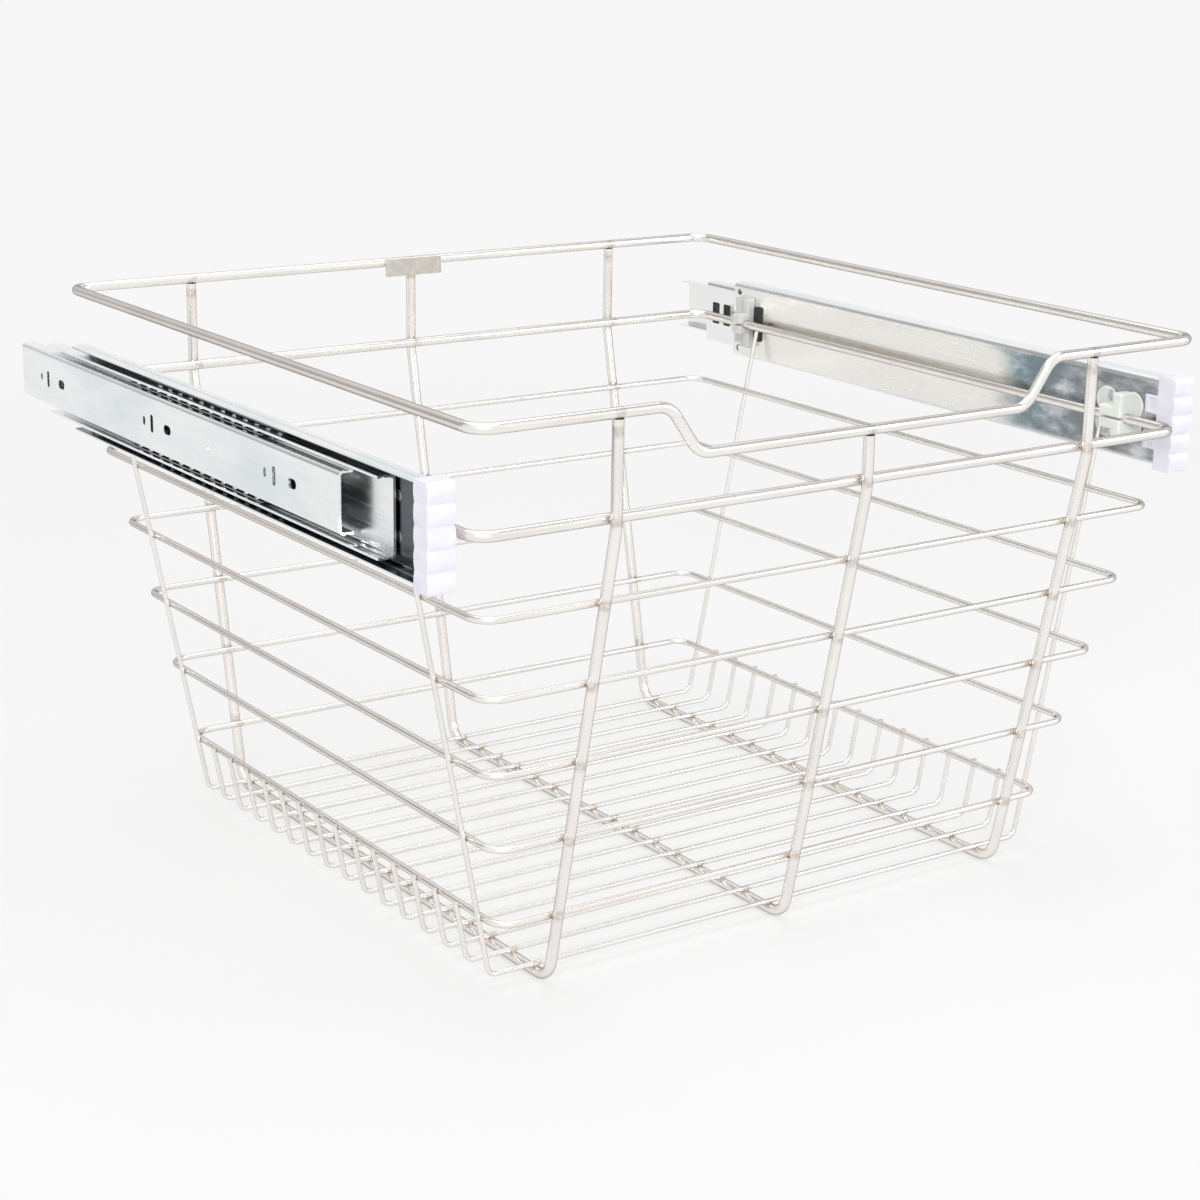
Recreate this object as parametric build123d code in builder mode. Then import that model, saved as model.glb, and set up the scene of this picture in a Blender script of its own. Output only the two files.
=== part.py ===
from build123d import *
import math
import os

os.makedirs("parts", exist_ok=True)

# Pull out cabinet basket: a welded wire basket between a pair of full-extension ball-bearing slides.
# Millimetres. +X right, +Y to the rear, +Z up. The origin is on the floor, under the middle of the
# object's outline. The basket is drawn pulled out by `pulled_out`, which is how it stands at rest.

# ---------------------------------------------------------------- wires
rim_wire = 5.0
slide_ring_wire = 5.0
hoop_wire = 5.2
side_ring_wire = 3.2
floor_wire = 2.4
weld_gap = 0.03  # welded wires stand this far apart, so that each one stays its own solid

# ---------------------------------------------------------------- basket, on the wires' centre lines
basket_height = 279.4  # floor to the top of the rim
slide_ring_width = 407.6
slide_ring_depth = 394.7
rim_overhang = 3.0  # the rim stands this far outside the slide ring at each side
low_ring_width = 332.0
low_ring_depth = 315.0
slide_ring_drop = 46.4  # rim down to the slide ring
side_ring_count = 5
lowest_gap_extra = 2.07  # the gap above the lowest ring is this much wider than the other gaps
low_ring_lift = 29.0  # floor wires up to the lowest ring
ring_corner_radius = 10.0

handle_top_width = 222.0  # the hand-hold, at its sharp corners
handle_bottom_width = 190.0
handle_drop = 22.3
handle_bend_radius = 12.0

hoop_spacing = 137.5
hoop_knee_radius = 30.0
hoop_foot_radius = 12.0
hoop_knee_below_ring = 3.5

floor_wire_count = 16
floor_wire_pitch = 19.2
floor_bend_radius = 5.0
short_end_above_ring = 1.2
long_end_below_ring = 1.2

badge_width = 36.0
badge_height = 10.2
badge_thickness = 1.4
badge_corner_radius = 1.6
badge_edge_chamfer = 0.4

# ---------------------------------------------------------------- slides
member_length = 350.0
pulled_out = 62.0  # how far the channel stands in front of the cabinet member
channel_setback = 23.5  # front plane of the rim back to the channel's front end
sheet = 1.2
channel_height = 44.6
channel_depth = 10.4
slide_thickness = 12.7
clip_seat = 4.0  # slide ring's outer side to the channel's back
sheet_corner_radius = 2.4

ball_radius = 1.75
groove_clearance = 0.08
groove_depth = 0.45
ball_pitch = 11.4
balls_in_a_row = 12
cage_sheet = 0.5
cage_length = 140.0
cage_hole_clearance = 0.1

outer_ball_x = 5.4  # from the channel's back
inner_ball_x = 8.6
outer_cage_x = 1.55
outer_cage_depth = 6.4
inner_cage_x = 4.25
inner_cage_depth = 6.8
outer_cage_shift = 15.5  # the cage's middle behind the channel's middle
inner_cage_shift = 33.0

middle_web_x = 2.4
middle_depth = 8.8
rail_depth = 7.1

screw_pitch = 128.0
screw_group_count = 3
upright_slot_from_rear = 34.0
upright_slot_length = 9.0
upright_slot_width = 3.0
small_slot_offset = 8.8
small_slot_length = 4.4
small_slot_width = 2.4
level_slot_offset = 17.4
level_slot_length = 7.6
level_slot_width = 4.6
dimple_from_rear = 224.0
dimple_radius = 1.6
dimple_depth = 0.5

stop_length = 24.0
stop_height = 18.0
stop_depth = 4.0
stop_from_end = 3.0
stop_gap = 0.05
stop_corner_radius = 2.0
stop_edge_chamfer = 0.6
window_length = 7.0
window_height = 13.0
window_spacing = 11.0
window_corner_radius = 1.0

cap_height = 48.0
cap_depth = 10.5
cap_lobes = 5
cap_lobe_height = 1.4
cap_side_clearance = 0.3
cap_valley_radius = 1.0
cap_edge_chamfer = 0.5
cap_gap = 0.05
cap_root = 1.0  # fingers, plug and pad start this far inside the cap's body
finger_thickness = 1.35
finger_length = 8.0
finger_height = 9.5
finger_lift = 9.0
finger_corner_radius = 1.5
cap_plug_depth = 1.6
cap_pad_depth = 3.2
cap_pad_height = 22.0
cap_pad_corner_radius = 1.5
cap_plug_clearance = 0.45

wing_thickness = 1.35
clip_edge_chamfer = 0.3
saddle_height = 12.0  # the saddle snaps round the slide ring
saddle_wall = 2.6
saddle_corner_radius = 2.5
wire_clearance = 0.05
snap_slot = 1.6
front_clip_setback = 25.5  # channel's front end back to the clip's middle
front_saddle_length = 15.0
front_saddle_lead = 10.5  # the saddle's front end is this far before the clip's middle
post_length = 6.5  # a taller block at the front of the front clip's saddle
post_height = 26.0
front_lobe_radius = 7.2
front_lobe_reach = 8.8
front_lobe_lift = 5.8
rear_clip_setback = 11.5  # channel's rear end forward to the clip's middle
rear_saddle_length = 8.0
rear_wing_width = 18.0
rear_wing_tall = 31.0
wing_corner_radius = 4.0
rivet_radius = 1.5
rivet_head_radius = 2.6
rivet_dome_height = 0.8
rivet_clearance = 0.05
rivet_seat_gap = 0.02
front_rivet_shift = 5.5  # the front clip's middle back to its rivets
front_rivet_reach = 8.9
rear_rivet_reach = 10.5

latch_width = 6.5  # black lock tab in front of the rear clip
latch_height = 21.0
latch_gap = 0.3
latch_corner_radius = 1.4
latch_peg_radius = 1.5
latch_peg_lift = 6.0
rear_hole_radius = 1.9
rear_hole_from_end = 5.0
rear_hole_reach = 17.0

# ---------------------------------------------------------------- heights
rim_z = basket_height - rim_wire / 2
slide_ring_z = rim_z - slide_ring_drop
floor_z = hoop_wire + weld_gap + floor_wire / 2
low_ring_z = floor_z + low_ring_lift
hoop_foot_z = hoop_wire / 2
hoop_knee_z = slide_ring_z - hoop_knee_below_ring
ring_pitch = (slide_ring_z - low_ring_z - lowest_gap_extra) / side_ring_count
side_ring_z = [slide_ring_z - ring_pitch * (i + 1) for i in range(side_ring_count - 1)] + [low_ring_z]


def lean_of(top_half, top_stand_off, low_half, low_stand_off, rise):
    """Angle from upright of a wire that lies outside a wider ring above and a narrower one below."""
    apart = math.hypot(top_half - low_half, rise)
    return math.atan2(top_half - low_half, rise) - math.asin((low_stand_off - top_stand_off) / apart)


# The hoops stand against the front and rear of every ring, and their upper ends carry the rim.
hoop_off_slide_ring = (slide_ring_wire + hoop_wire) / 2 + weld_gap
hoop_off_side_ring = (side_ring_wire + hoop_wire) / 2 + weld_gap
hoop_half_depth = slide_ring_depth / 2 + hoop_off_slide_ring
hoop_lean = lean_of(hoop_half_depth, 0, low_ring_depth / 2, hoop_off_side_ring, hoop_knee_z - low_ring_z)

# The floor wires' ends stand against the sides of the rings in the same way.
end_off_slide_ring = (slide_ring_wire + floor_wire) / 2 + weld_gap
end_off_side_ring = (side_ring_wire + floor_wire) / 2 + weld_gap
side_lean = lean_of(
    slide_ring_width / 2,
    end_off_slide_ring,
    low_ring_width / 2,
    end_off_side_ring,
    slide_ring_z - low_ring_z,
)


def hoop_half_at(z):
    return hoop_half_depth - (hoop_knee_z - z) * math.tan(hoop_lean)


def wire_end_half_at(z):
    at_slide_ring = slide_ring_width / 2 + end_off_slide_ring / math.cos(side_lean)
    return at_slide_ring - (slide_ring_z - z) * math.tan(side_lean)


rim_width = slide_ring_width + 2 * rim_overhang
rim_depth = 2 * hoop_half_depth

# ---------------------------------------------------------------- places along Y
rail_rear = -hoop_half_depth + channel_setback + pulled_out + member_length
front_reach = hoop_half_depth + max(rim_wire, hoop_wire) / 2
basket_y = (front_reach - rail_rear) / 2  # puts the origin midway between the front and the rails' rear
channel_front = basket_y - hoop_half_depth + channel_setback
channel_rear = channel_front + member_length
channel_middle = (channel_front + channel_rear) / 2
middle_rear = channel_rear + pulled_out / 2
middle_front = middle_rear - member_length
rail_end = channel_rear + pulled_out
front_clip_y = channel_front + front_clip_setback
rear_clip_y = channel_rear - rear_clip_setback
latch_y = rear_clip_y - rear_wing_width / 2 - latch_gap - latch_width / 2
front_rivet_y = front_clip_y + front_rivet_shift
front_rivets = [(front_rivet_y, -front_rivet_reach), (front_rivet_y, front_rivet_reach)]
rear_rivets = [(rear_clip_y, -rear_rivet_reach), (rear_clip_y, rear_rivet_reach)]

# ---------------------------------------------------------------- places across a slide, on its right side
channel_x = slide_ring_width / 2 + slide_ring_wire / 2 + clip_seat
wing_x = channel_x - cap_gap - wing_thickness
rail_face_x = channel_x + slide_thickness
groove_radius = ball_radius + groove_clearance
channel_inner_z = channel_height / 2 - sheet
outer_ball_z = channel_inner_z + groove_depth - groove_radius
middle_outer_z = outer_ball_z - groove_radius + groove_depth
middle_inner_z = middle_outer_z - sheet
inner_ball_z = middle_inner_z + groove_depth - groove_radius
rail_outer_z = inner_ball_z - groove_radius + groove_depth


def save(name, part):
    part.label = name
    export_step(part, "parts/" + name + ".step")


def save_pair(name, part):
    """The right-hand piece as drawn, and its mirror image on the left."""
    save("left_" + name, part.mirror(Plane.YZ))
    save("right_" + name, part)


# ================================================================ basket
def rounded_ring(name, width, depth, z, wire):
    x, y = width / 2, depth / 2
    with BuildPart() as ring:
        with BuildLine(Plane((0, basket_y, z))) as path:
            FilletPolyline((-x, -y), (x, -y), (x, y), (-x, y), radius=ring_corner_radius, close=True)
        with BuildSketch(path.line ^ 0):
            Circle(wire / 2)
        sweep(path=path.line)
    save(name, ring.part)


def make_top_rim():
    x, y = rim_width / 2, rim_depth / 2
    top, low = handle_top_width / 2, handle_bottom_width / 2
    corners = [(-x, y, 0), (-x, -y, 0), (x, -y, 0), (x, y, 0)]
    dip = [(-top, -y, 0), (-low, -y, -handle_drop), (low, -y, -handle_drop), (top, -y, 0)]
    points = corners[:2] + dip + corners[2:]
    radii = [ring_corner_radius] * 2 + [handle_bend_radius] * len(dip) + [ring_corner_radius] * 2
    with BuildPart() as rim:
        with BuildLine(Plane((0, basket_y, rim_z))) as path:
            FilletPolyline(*points, radius=radii, close=True)
        with BuildSketch(path.line ^ 0):
            Circle(rim_wire / 2)
        sweep(path=path.line)
    save("top_rim", rim.part)


def make_rings():
    rounded_ring("slide_ring", slide_ring_width, slide_ring_depth, slide_ring_z, slide_ring_wire)
    for number, z in enumerate(side_ring_z, start=1):
        width = 2 * (wire_end_half_at(z) - end_off_side_ring / math.cos(side_lean))
        depth = 2 * (hoop_half_at(z) - hoop_off_side_ring / math.cos(hoop_lean))
        rounded_ring(f"side_ring_{number}", width, depth, z, side_ring_wire)


def make_hoop(name, x):
    under_rim = rim_z - rim_wire / 2 - weld_gap
    front_top = under_rim - handle_drop if abs(x) < handle_bottom_width / 2 else under_rim
    foot = hoop_half_at(hoop_foot_z)
    with BuildPart() as hoop:
        with BuildLine(Plane((x, basket_y, 0), x_dir=(0, 1, 0), z_dir=(1, 0, 0))) as path:
            FilletPolyline(
                (-hoop_half_depth, front_top),
                (-hoop_half_depth, hoop_knee_z),
                (-foot, hoop_foot_z),
                (foot, hoop_foot_z),
                (hoop_half_depth, hoop_knee_z),
                (hoop_half_depth, under_rim),
                radius=[hoop_knee_radius, hoop_foot_radius, hoop_foot_radius, hoop_knee_radius],
            )
        with BuildSketch(path.line ^ 0):
            Circle(hoop_wire / 2)
        sweep(path=path.line)
    save(name, hoop.part)


def make_floor_wires():
    foot = wire_end_half_at(floor_z)
    for i in range(floor_wire_count):
        y = basket_y + floor_wire_pitch * (i - (floor_wire_count - 1) / 2)
        is_long = i in (0, floor_wire_count - 1)
        top = slide_ring_z - long_end_below_ring if is_long else low_ring_z + short_end_above_ring
        end = wire_end_half_at(top)
        with BuildPart() as wire:
            with BuildLine(Plane((0, y, 0), x_dir=(1, 0, 0), z_dir=(0, -1, 0))) as path:
                FilletPolyline(
                    (-end, top),
                    (-foot, floor_z),
                    (foot, floor_z),
                    (end, top),
                    radius=floor_bend_radius,
                )
            with BuildSketch(path.line ^ 0):
                Circle(floor_wire / 2)
            sweep(path=path.line)
        save(f"floor_wire_{i + 1:02d}", wire.part)


def make_badge_plate():
    """A bare plate in front of the rear rim, at the top of the middle hoop."""
    back = basket_y + hoop_half_depth - hoop_wire / 2 - weld_gap
    middle_z = basket_height - badge_height / 2
    with BuildPart() as badge:
        with BuildSketch(Plane((0, back, middle_z), x_dir=(1, 0, 0), z_dir=(0, -1, 0))):
            RectangleRounded(badge_width, badge_height, badge_corner_radius)
        extrude(amount=badge_thickness)
        chamfer(badge.faces().sort_by(Axis.Y)[0].edges(), badge_edge_chamfer)
    save("badge_plate", badge.part)


# ================================================================ slides
def section_at(y):
    """A section across the right slide: X from the channel's back, Z from the slide's middle height."""
    return Plane((channel_x, y, slide_ring_z), x_dir=(1, 0, 0), z_dir=(0, -1, 0))


def face_at(x):
    """A plane along the right slide that faces outwards: Y, then Z from the slide's middle height."""
    return Plane((x, 0, slide_ring_z), x_dir=(0, 1, 0), z_dir=(1, 0, 0))


def both_rows(x, z):
    return Locations((x, z), (x, -z))


def make_channel():
    """The member that carries the basket, drilled for the clips' rivets and the lock tab's peg."""
    rear_hole_y = channel_rear - rear_hole_from_end
    with BuildPart() as channel:
        with BuildSketch(section_at(channel_rear)) as section:
            with Locations((channel_depth / 2, 0)):
                Rectangle(channel_depth, channel_height)
            fillet(section.vertices().group_by(Axis.X)[0], sheet_corner_radius)
            with both_rows(outer_ball_x, outer_ball_z):
                Circle(groove_radius + sheet)
            with BuildSketch(mode=Mode.PRIVATE) as hollow:
                with Locations((sheet + channel_depth / 2, 0)):
                    Rectangle(channel_depth, 2 * channel_inner_z)
                fillet(hollow.vertices().group_by(Axis.X)[0], sheet_corner_radius - sheet)
            add(hollow.sketch, mode=Mode.SUBTRACT)
            with both_rows(outer_ball_x, outer_ball_z):
                Circle(groove_radius, mode=Mode.SUBTRACT)
        extrude(amount=member_length)
        with Locations(face_at(channel_x + sheet)):
            with Locations(*front_rivets, *rear_rivets):
                CounterSinkHole(
                    radius=rivet_radius + rivet_clearance,
                    counter_sink_radius=rivet_head_radius + rivet_clearance,
                    depth=2 * sheet,
                )
            with Locations((latch_y, latch_peg_lift)):
                Hole(latch_peg_radius + rivet_clearance, 2 * sheet)
            with Locations((rear_hole_y, rear_hole_reach), (rear_hole_y, -rear_hole_reach)):
                Hole(rear_hole_radius, 2 * sheet)
    save_pair("channel", channel.part)


def make_middle_member():
    """The floating member between the two rows of balls, with two windows over its stop."""
    windows_y = middle_rear - stop_from_end - stop_length / 2
    with BuildPart() as middle:
        with BuildSketch(section_at(middle_rear)) as section:
            with Locations((middle_web_x + middle_depth / 2, 0)):
                Rectangle(middle_depth, 2 * middle_outer_z)
            fillet(section.vertices().group_by(Axis.X)[0], sheet_corner_radius)
            with BuildSketch(mode=Mode.PRIVATE) as hollow:
                with Locations((middle_web_x + sheet + middle_depth / 2, 0)):
                    Rectangle(middle_depth, 2 * middle_inner_z)
                fillet(hollow.vertices().group_by(Axis.X)[0], sheet_corner_radius - sheet)
            add(hollow.sketch, mode=Mode.SUBTRACT)
            with both_rows(outer_ball_x, outer_ball_z):
                Circle(groove_radius, mode=Mode.SUBTRACT)
            with both_rows(inner_ball_x, inner_ball_z):
                Circle(groove_radius, mode=Mode.SUBTRACT)
        extrude(amount=member_length)
        with BuildSketch(face_at(channel_x + middle_web_x)):
            with Locations((windows_y - window_spacing / 2, 0), (windows_y + window_spacing / 2, 0)):
                RectangleRounded(window_length, window_height, window_corner_radius)
        extrude(amount=sheet, mode=Mode.SUBTRACT)
    save_pair("middle_member", middle.part)


def make_cabinet_member():
    """The member that is screwed to the cabinet's side, with three groups of slots."""
    web_x = slide_thickness - sheet
    with BuildPart() as rail:
        with BuildSketch(section_at(rail_end)) as section:
            with Locations((slide_thickness - rail_depth / 2, 0)):
                Rectangle(rail_depth, 2 * rail_outer_z)
            fillet(section.vertices().group_by(Axis.X)[-1], sheet_corner_radius)
            with BuildSketch(mode=Mode.PRIVATE) as hollow:
                with Locations((web_x - rail_depth / 2, 0)):
                    Rectangle(rail_depth, 2 * (rail_outer_z - sheet))
                fillet(hollow.vertices().group_by(Axis.X)[-1], sheet_corner_radius - sheet)
            add(hollow.sketch, mode=Mode.SUBTRACT)
            with both_rows(inner_ball_x, inner_ball_z):
                Circle(groove_radius, mode=Mode.SUBTRACT)
        extrude(amount=member_length)
        with BuildSketch(face_at(channel_x + web_x)):
            for i in range(screw_group_count):
                y = rail_end - upright_slot_from_rear - screw_pitch * i
                with Locations((y, 0)):
                    SlotOverall(upright_slot_length, upright_slot_width, rotation=90)
                with Locations((y + small_slot_offset, 0)):
                    SlotOverall(small_slot_length, small_slot_width, rotation=90)
                with Locations((y - level_slot_offset, 0)):
                    SlotOverall(level_slot_length, level_slot_width)
        extrude(amount=sheet, mode=Mode.SUBTRACT)
        with BuildSketch(face_at(rail_face_x)):
            with Locations((rail_end - dimple_from_rear, 0)):
                Circle(dimple_radius)
        extrude(amount=-dimple_depth, mode=Mode.SUBTRACT)
    save_pair("cabinet_member", rail.part)


def ball_places(middle_y):
    first = middle_y - ball_pitch * (balls_in_a_row - 1) / 2
    return [first + ball_pitch * i for i in range(balls_in_a_row)]


def make_cage_and_balls(name, middle_y, web_x, depth, ball_x, ball_z):
    """A thin U that carries a row of balls above and a row below."""
    half_height = ball_z + cage_sheet / 2
    with BuildPart() as cage:
        with BuildSketch(section_at(middle_y + cage_length / 2)):
            with Locations((web_x + depth / 2, 0)):
                Rectangle(depth, 2 * half_height)
            with Locations((web_x + cage_sheet + depth / 2, 0)):
                Rectangle(depth, 2 * (half_height - cage_sheet), mode=Mode.SUBTRACT)
        extrude(amount=cage_length)
        with Locations(*[(channel_x + ball_x, y, slide_ring_z) for y in ball_places(middle_y)]):
            Cylinder(ball_radius + cage_hole_clearance, 4 * half_height, mode=Mode.SUBTRACT)
    save_pair(name + "_ball_cage", cage.part)
    with BuildPart() as balls:
        for y in ball_places(middle_y):
            for z in (slide_ring_z + ball_z, slide_ring_z - ball_z):
                with Locations((channel_x + ball_x, y, z)):
                    Sphere(ball_radius)
    save_pair(name + "_balls", balls.part)


def make_middle_stop():
    """Black plastic stop inside the middle member's rear end, seen through the two windows."""
    front = middle_rear - stop_from_end - stop_length
    with BuildPart() as stop:
        with BuildSketch(face_at(channel_x + middle_web_x + sheet + stop_gap)):
            with Locations((front + stop_length / 2, 0)):
                RectangleRounded(stop_length, stop_height, stop_corner_radius)
        extrude(amount=stop_depth)
        chamfer(stop.faces().sort_by(Axis.X)[-1].edges(), stop_edge_chamfer)
    save_pair("middle_stop", stop.part)


def make_end_cap():
    """White cap on the channel's front end: waved front, a plug and pad inside, two fingers behind."""
    half = cap_height / 2
    lobe = cap_height / cap_lobes
    inner_x = channel_x - cap_gap - finger_thickness
    outer_x = rail_face_x - cap_side_clearance
    rear_y = channel_front - cap_gap
    front_y = rear_y - cap_depth
    plug_x = channel_x + sheet + cap_plug_clearance
    plug_half = channel_inner_z - cap_plug_clearance
    with BuildPart() as cap:
        with BuildSketch(face_at(inner_x)) as outline:
            with BuildLine():
                Polyline((front_y, half), (rear_y, half), (rear_y, -half), (front_y, -half))
                for i in range(cap_lobes):
                    low = -half + lobe * i
                    SagittaArc((front_y, low), (front_y, low + lobe), cap_lobe_height)
            make_face()
            valleys = [corner for corner in outline.vertices() if abs(corner.Y) < half - lobe / 2]
            fillet(valleys, cap_valley_radius)
        extrude(amount=outer_x - inner_x)
        chamfer(cap.faces().sort_by(Axis.X)[-1].edges(), cap_edge_chamfer)
        with BuildSketch(face_at(inner_x)):
            with both_rows(rear_y + (finger_length - cap_root) / 2, finger_lift):
                RectangleRounded(finger_length + cap_root, finger_height, finger_corner_radius)
        extrude(amount=finger_thickness)
        with BuildSketch(face_at(plug_x)):
            with Locations((rear_y + (cap_plug_depth - cap_root) / 2, 0)):
                Rectangle(cap_plug_depth + cap_root, 2 * plug_half)
            with Locations((rear_y + (cap_pad_depth - cap_root) / 2, 0)):
                RectangleRounded(cap_pad_depth + cap_root, cap_pad_height, cap_pad_corner_radius)
        extrude(amount=channel_depth - sheet - 2 * cap_plug_clearance)
    save_pair("end_cap", cap.part)


# ================================================================ clips on the slide ring
def across_ring(y, lift=0):
    """A plane across the slide ring's side run: X from the object's middle, Z from the ring's height."""
    return Plane((0, y, slide_ring_z + lift), x_dir=(1, 0, 0), z_dir=(0, -1, 0))


def make_clip(name, wing_outline, front_end, blocks, rivets):
    """A wing against the channel's back, and blocks from `front_end` that snap round the slide ring."""
    ring_x = slide_ring_width / 2
    bore = slide_ring_wire / 2 + wire_clearance
    inner_x = ring_x - bore - saddle_wall
    longest = max(length for length, height in blocks)
    with BuildPart() as clip:
        with BuildSketch(face_at(wing_x)):
            wing_outline()
        extrude(amount=wing_thickness)
        chamfer(clip.faces().sort_by(Axis.X)[0].edges(), clip_edge_chamfer)
        for length, height in blocks:
            with BuildSketch(across_ring(front_end + length)) as block:
                with Locations(((inner_x + wing_x) / 2, 0)):
                    Rectangle(wing_x - inner_x, height)
                fillet(block.vertices().group_by(Axis.X)[0], saddle_corner_radius)
            extrude(amount=length)
        with BuildSketch(across_ring(front_end + longest)):
            with Locations((ring_x, 0)):
                Circle(bore)
            with Locations((inner_x, 0)):
                Rectangle(2 * saddle_wall + bore, snap_slot)
        extrude(amount=longest, mode=Mode.SUBTRACT)
        with Locations(face_at(channel_x - cap_gap)):
            with Locations(*rivets):
                Hole(rivet_radius + rivet_clearance, 2 * wing_thickness)
    save_pair(name, clip.part)


def front_wings():
    """Four round lobes about the clip's middle."""
    for y in (front_clip_y - front_lobe_reach, front_clip_y + front_lobe_reach):
        with both_rows(y, front_lobe_lift):
            Circle(front_lobe_radius)
    with Locations((front_clip_y, 0)):
        Rectangle(2 * front_lobe_reach, 2 * front_lobe_lift)


def rear_wings():
    with Locations((rear_clip_y, 0)):
        RectangleRounded(rear_wing_width, rear_wing_tall, wing_corner_radius)


def make_rear_latch():
    """Black lock tab in front of the rear clip, pegged into the channel's back."""
    with BuildPart() as latch:
        with BuildSketch(face_at(wing_x)):
            with Locations((latch_y, 0)):
                RectangleRounded(latch_width, latch_height, latch_corner_radius)
        extrude(amount=wing_thickness)
        chamfer(latch.faces().sort_by(Axis.X)[0].edges(), clip_edge_chamfer)
        with BuildSketch(face_at(channel_x - cap_gap)):
            with Locations((latch_y, latch_peg_lift)):
                Circle(latch_peg_radius)
        extrude(amount=cap_gap + sheet)
    save_pair("rear_latch", latch.part)


def make_clip_rivets():
    """Countersunk rivets, flush inside the channel, with a low dome on the wing."""
    dome_x = wing_x - rivet_seat_gap
    flush_x = channel_x + sheet
    neck_x = flush_x - (rivet_head_radius - rivet_radius)
    with BuildPart() as rivets:
        for y, z in front_rivets + rear_rivets:
            with BuildSketch(across_ring(y, z)):
                with BuildLine():
                    Polyline(
                        (dome_x - rivet_dome_height, 0),
                        (dome_x - rivet_dome_height, rivet_radius),
                        (dome_x, rivet_head_radius),
                        (dome_x, rivet_radius),
                        (neck_x, rivet_radius),
                        (flush_x, rivet_head_radius),
                        (flush_x, 0),
                        close=True,
                    )
                make_face()
            revolve(axis=Axis((0, y, slide_ring_z + z), (1, 0, 0)))
    save_pair("clip_rivets", rivets.part)


# ================================================================ all pieces
make_top_rim()
make_rings()
make_hoop("left_hoop", -hoop_spacing)
make_hoop("middle_hoop", 0)
make_hoop("right_hoop", hoop_spacing)
make_floor_wires()
make_badge_plate()

make_channel()
make_middle_member()
make_cabinet_member()
make_cage_and_balls(
    "outer", channel_middle + outer_cage_shift, outer_cage_x, outer_cage_depth, outer_ball_x, outer_ball_z
)
make_cage_and_balls(
    "inner", channel_middle + inner_cage_shift, inner_cage_x, inner_cage_depth, inner_ball_x, inner_ball_z
)
make_middle_stop()
make_end_cap()
make_clip(
    "front_clip",
    front_wings,
    front_clip_y - front_saddle_lead,
    [(front_saddle_length, saddle_height), (post_length, post_height)],
    front_rivets,
)
make_clip(
    "rear_clip",
    rear_wings,
    rear_clip_y - rear_wing_width / 2,
    [(rear_saddle_length, saddle_height)],
    rear_rivets,
)
make_rear_latch()
make_clip_rivets()
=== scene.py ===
"""Looks for the pull out cabinet basket: finishes, weld beads, moulded caps and clips, stage and camera."""

import math

import bpy
from mathutils import Matrix, Vector


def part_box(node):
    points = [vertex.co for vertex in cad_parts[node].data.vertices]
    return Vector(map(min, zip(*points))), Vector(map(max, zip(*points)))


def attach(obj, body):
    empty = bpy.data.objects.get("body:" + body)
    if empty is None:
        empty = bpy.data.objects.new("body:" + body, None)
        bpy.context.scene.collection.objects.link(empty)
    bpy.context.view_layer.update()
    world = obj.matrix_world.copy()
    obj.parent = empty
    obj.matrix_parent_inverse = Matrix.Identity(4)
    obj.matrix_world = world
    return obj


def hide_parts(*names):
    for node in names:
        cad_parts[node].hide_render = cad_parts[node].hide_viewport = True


bl_info = {
    "name": "Pull out basket looks",
    "version": (1, 0, 0),
    "blender": (4, 5, 0),
    "location": "3D View > Sidebar > Basket",
    "description": "Finishes and fine pieces for a wire basket on ball-bearing slides",
    "category": "Object",
}

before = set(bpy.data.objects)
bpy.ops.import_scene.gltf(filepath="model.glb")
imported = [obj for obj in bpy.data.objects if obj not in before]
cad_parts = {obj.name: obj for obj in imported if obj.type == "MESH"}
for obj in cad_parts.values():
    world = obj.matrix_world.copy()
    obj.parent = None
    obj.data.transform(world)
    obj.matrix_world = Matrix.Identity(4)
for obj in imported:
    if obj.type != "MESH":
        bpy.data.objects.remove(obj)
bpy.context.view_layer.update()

MM = 0.001
SIDES = ("left", "right")
RINGS = ["slide_ring"] + [f"side_ring_{number}" for number in range(1, 6)]
HOOPS = ["left_hoop", "middle_hoop", "right_hoop"]
FLOOR_WIRES = [f"floor_wire_{number:02d}" for number in range(1, 17)]
LONG_WIRES = (FLOOR_WIRES[0], FLOOR_WIRES[-1])


def pair_of(kind):
    return [f"{side}_{kind}" for side in SIDES]


def middle_of(node):
    low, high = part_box(node)
    return (low + high) / 2


SLIDE_Z = middle_of("slide_ring").z
SLIDE_WIRE_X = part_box("slide_ring")[1].x - 2.5 * MM
CHANNEL_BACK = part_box("right_channel")[0].x
WIRE_BORE_RADIUS = 2.56 * MM
WIRE_SLOT_HALF = 0.8 * MM
RIVET_BORE_RADIUS = 1.56 * MM
PAST = 1 * MM  # how far a cutter runs past the face that it cuts, at the least


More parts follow.
